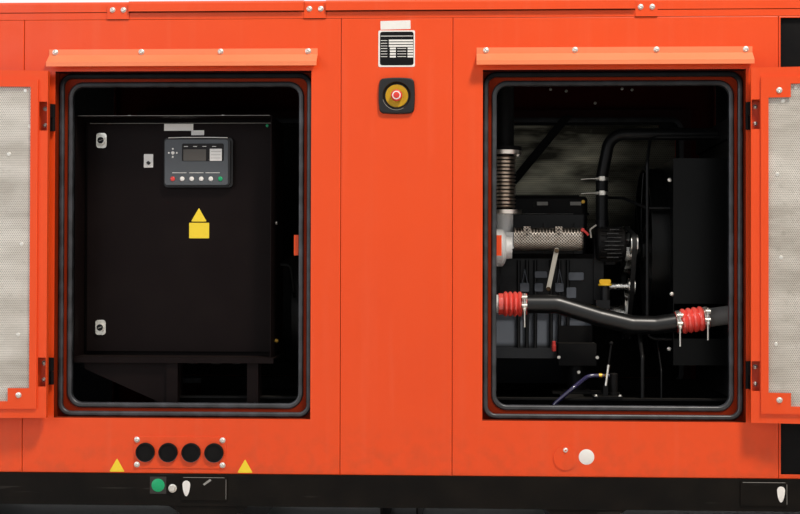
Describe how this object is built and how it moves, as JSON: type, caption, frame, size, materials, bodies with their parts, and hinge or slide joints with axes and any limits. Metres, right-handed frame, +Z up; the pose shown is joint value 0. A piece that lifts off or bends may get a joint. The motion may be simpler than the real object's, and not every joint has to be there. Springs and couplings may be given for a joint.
{
  "type": "enclosed diesel generator set",
  "caption": "Orange steel enclosure with a diesel engine, alternator and control cabinet, its two side doors open.",
  "frame": {"origin": "centre of the enclosure's footprint, on the ground face of the feet", "axes": "+X along the length towards the radiator end, -Y out of the side with the open doors, +Z up"},
  "size_m": [4.0166, 1.5252, 1.9563],
  "materials": {
    "orange_paint": "satin orange powder coat, dusty",
    "black_paint": "satin black paint, dusty",
    "liner": "perforated zinc coated sheet over wool",
    "seal_rubber": "matte black rubber",
    "controller_grey": "moulded dark grey plastic",
    "zinc_steel": "zinc plated steel",
    "cast_grey": "machine grey enamel on cast iron, oily",
    "engine_black": "dark enamel on cast iron, dusty",
    "heat_shield": "embossed aluminised sheet, heat tinted",
    "turbo_steel": "bare cast metal, heat tinted",
    "bellows_steel": "stainless, browned by heat",
    "pipe_black": "gloss black paint on steel tube",
    "red_silicone": "red silicone hose, satin",
    "black_rubber": "black rubber hose, satin",
    "radiator_black": "matte black paint",
    "stop_yellow": "moulded yellow plastic",
    "stop_red": "moulded red plastic",
    "clear_pvc": "clear violet-tinted hose",
    "black_plastic": "moulded black plastic"
  },
  "bodies": {
    "enclosure": {"alternator": "cast_grey", "base_frame": "black_paint", "bay_inserts": "black_paint", "cabinet_body": "black_paint", "cabinet_stand": "black_paint", "cable_glands": "black_plastic", "charge_hoses": "red_silicone", "charge_pipe": "pipe_black", "charging_alternator": "zinc_steel", "coolant_hoses": "black_rubber", "cooler_pipe": "cast_grey", "door_hinges": "black_paint", "door_seals": "seal_rubber", "door_stay": "black_paint", "door_surrounds": "orange_paint", "drain_pump": "black_paint", "end_grilles": "black_paint", "end_walls": "orange_paint", "engine_block": "engine_black", "engine_mounts": "black_paint", "exhaust_bellows": "bellows_steel", "exhaust_manifold": "heat_shield", "exhaust_riser": "radiator_black", "fan": "black_plastic", "fan_belt": "black_rubber", "fan_shroud": "radiator_black", "filler_cap": "stop_yellow", "fork_pockets": "black_paint", "fuel_tank": "black_paint", "gland_plate": "orange_paint", "gland_plugs": "black_plastic", "loose_cables": "black_rubber", "oil_sump": "cast_grey", "pulleys": "zinc_steel", "pump_hose": "clear_pvc", "radiator": "radiator_black", "rain_gutters": "orange_paint", "rear_door_fittings": "black_paint", "rear_door_liners": "liner", "rear_doors": "orange_paint", "rocker_cover": "engine_black", "roof_frame": "orange_paint", "roof_sheets": "orange_paint", "side_panels": "orange_paint", "skid_frame": "black_paint", "stop_bezel": "black_plastic", "stop_disc": "stop_yellow", "turbocharger": "turbo_steel"},
    "right_door": {"right_door": "orange_paint", "right_door_liner": "liner", "right_door_fittings": "black_paint"},
    "left_door": {"left_door": "orange_paint", "left_door_liner": "liner", "left_door_fittings": "black_paint"},
    "cabinet_door": {"cabinet_door": "black_paint", "cabinet_locks": "zinc_steel", "controller": "controller_grey"},
    "stop_button": {"stop_button": "stop_red"},
    "drain_cover": {"drain_cover": "orange_paint"},
    "pump_lever": {"pump_lever": "zinc_steel"}
  },
  "joints": [
    {"name": "right_door_hinge", "type": "hinge", "parent": "enclosure", "child": "right_door", "pos_m": [1.153, -0.662, 1.0213], "axis": [0, 0, 1], "range_deg": [-172, 0]},
    {"name": "left_door_hinge", "type": "hinge", "parent": "enclosure", "child": "left_door", "pos_m": [-1.153, -0.662, 1.0213], "axis": [0, 0, -1], "range_deg": [-175, 0]},
    {"name": "cabinet_door_hinge", "type": "hinge", "parent": "enclosure", "child": "cabinet_door", "pos_m": [-0.4405, -0.456, 1.0508], "axis": [0, 0, 1], "range_deg": [0, 88]},
    {"name": "stop_button_push", "type": "slide", "parent": "enclosure", "child": "stop_button", "axis": [0, 1, 0], "range_m": [0, 0.006], "stiffness_N_per_m": 400},
    {"name": "drain_cover_pivot", "type": "hinge", "parent": "enclosure", "child": "drain_cover", "pos_m": [0.56, -0.65, 0.3453], "axis": [0, 1, 0], "range_deg": [0, 120]},
    {"name": "pump_lever_pivot", "type": "hinge", "parent": "enclosure", "child": "pump_lever", "pos_m": [0.706, -0.48, 0.537], "axis": [0, 1, 0], "range_deg": [-35, 30]}
  ]
}
